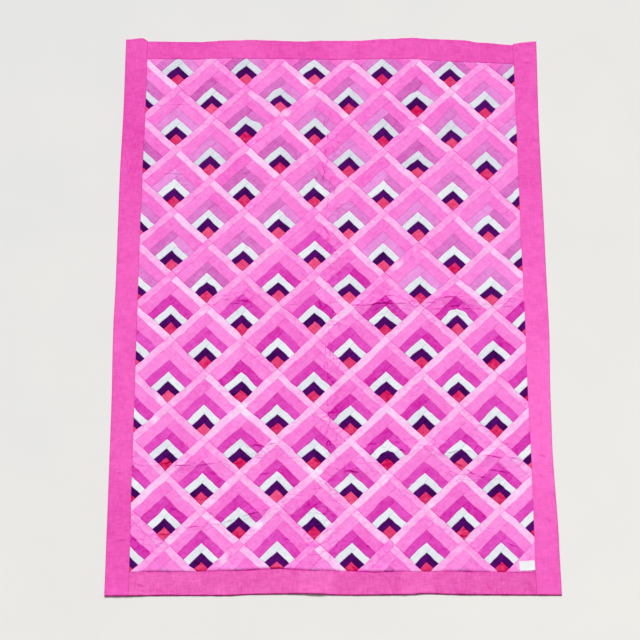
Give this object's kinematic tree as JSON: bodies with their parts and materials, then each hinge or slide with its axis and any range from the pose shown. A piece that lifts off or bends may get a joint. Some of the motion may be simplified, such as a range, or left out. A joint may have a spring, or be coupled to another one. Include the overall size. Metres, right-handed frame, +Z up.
{
  "type": "wall quilt",
  "caption": "Rectangular patchwork quilt lying flat, half log-cabin blocks set on point in a plain strip border, with a small blank label sewn in one corner.",
  "frame": {"origin": "middle of the underside, on the surface that the quilt lies on", "axes": "+X across the quilt, +Y along its length towards the top edge, +Z up out of its face"},
  "size_m": [1.64, 2.328, 0.0107],
  "materials": {
    "patchwork": "hand-dyed cotton patchwork, quilted",
    "border": "plain-woven pink cotton, slightly mottled",
    "label": "plain white cotton"
  },
  "bodies": {
    "root": {"centre_panel": "patchwork", "border_left": "border", "border_right": "border", "border_top": "border", "border_bottom": "border", "label": "label"}
  },
  "joints": []
}
